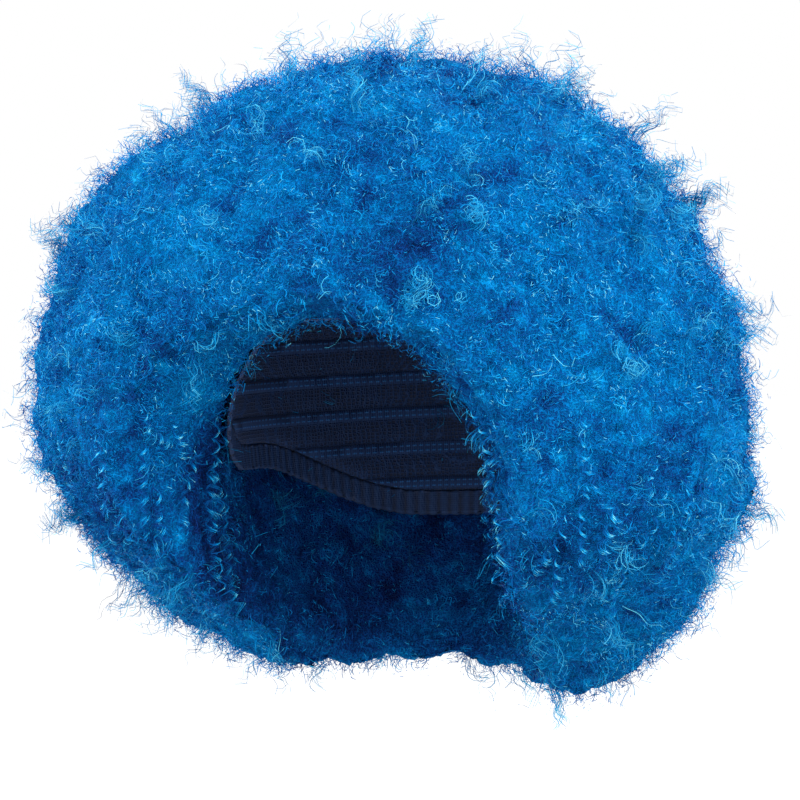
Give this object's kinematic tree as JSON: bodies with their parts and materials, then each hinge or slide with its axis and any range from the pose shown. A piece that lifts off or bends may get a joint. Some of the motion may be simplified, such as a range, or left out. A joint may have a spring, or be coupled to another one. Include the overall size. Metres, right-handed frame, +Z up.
{
  "type": "afro wig",
  "caption": "Big round curly wig on a stretch cap, open at the face and neck, shaped as it is when worn.",
  "frame": {"origin": "inside top of the cap, where the crown of the head touches it", "axes": "+Z up, the face opening looks along -Y, +X towards the wearer's left"},
  "size_m": [0.3619, 0.3171, 0.3229],
  "materials": {
    "hair": "fine curly synthetic fibre with a light sheen",
    "cap_net": "matt stretch net with sewn rows",
    "band_elastic": "matt ribbed elastic"
  },
  "bodies": {
    "root": {"cap": "cap_net", "edge_band": "band_elastic", "hair_row_1": "hair", "hair_row_2": "hair", "hair_row_3": "hair", "hair_row_4": "hair", "hair_row_5": "hair", "hair_row_6": "hair", "hair_row_7": "hair", "hair_row_8": "hair", "hair_row_9": "hair"}
  },
  "joints": []
}
